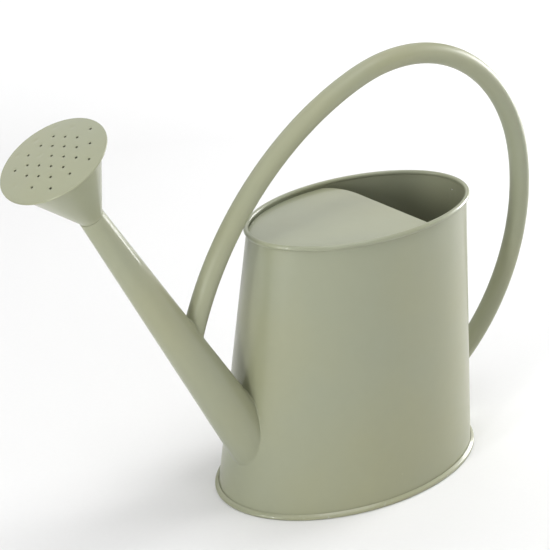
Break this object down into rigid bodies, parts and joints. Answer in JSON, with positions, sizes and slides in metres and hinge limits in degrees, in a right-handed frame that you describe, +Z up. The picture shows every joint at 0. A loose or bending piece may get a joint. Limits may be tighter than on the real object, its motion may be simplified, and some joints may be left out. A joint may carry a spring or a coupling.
{
  "type": "watering can",
  "caption": "Oval sheet-steel watering can with a tapered tank, half cover, long slanted spout, pull-off rose and a hoop handle of bent tube.",
  "frame": {"origin": "on the ground plane below the middle of the whole can's bounding box, on its symmetry plane", "axes": "+Z up; X along the long axis of the oval tank, with the spout and rose at -X and the handle's back at +X; Y across the can"},
  "size_m": [0.4922, 0.1584, 0.3377],
  "materials": {
    "sage_paint": "smooth glossy sage-green paint",
    "wire_steel": "plain drawn wire"
  },
  "bodies": {
    "can": {"tank_wall": "sage_paint", "wall_lap_seam": "sage_paint", "base_pan": "sage_paint", "front_cover": "sage_paint", "cover_solder": "sage_paint", "spout": "sage_paint", "spout_solder": "sage_paint", "handle_tube": "sage_paint", "handle_front_solder": "sage_paint", "handle_back_solder": "sage_paint", "rim_wire": "wire_steel"},
    "rose": {"rose_spigot": "sage_paint", "rose_neck_solder": "sage_paint", "rose_cone": "sage_paint", "rose_face": "sage_paint"}
  },
  "joints": [
    {"name": "rose_pull", "type": "slide", "parent": "can", "child": "rose", "axis": [-0.5314, 0, 0.8471], "range_m": [0, 0.04]}
  ]
}
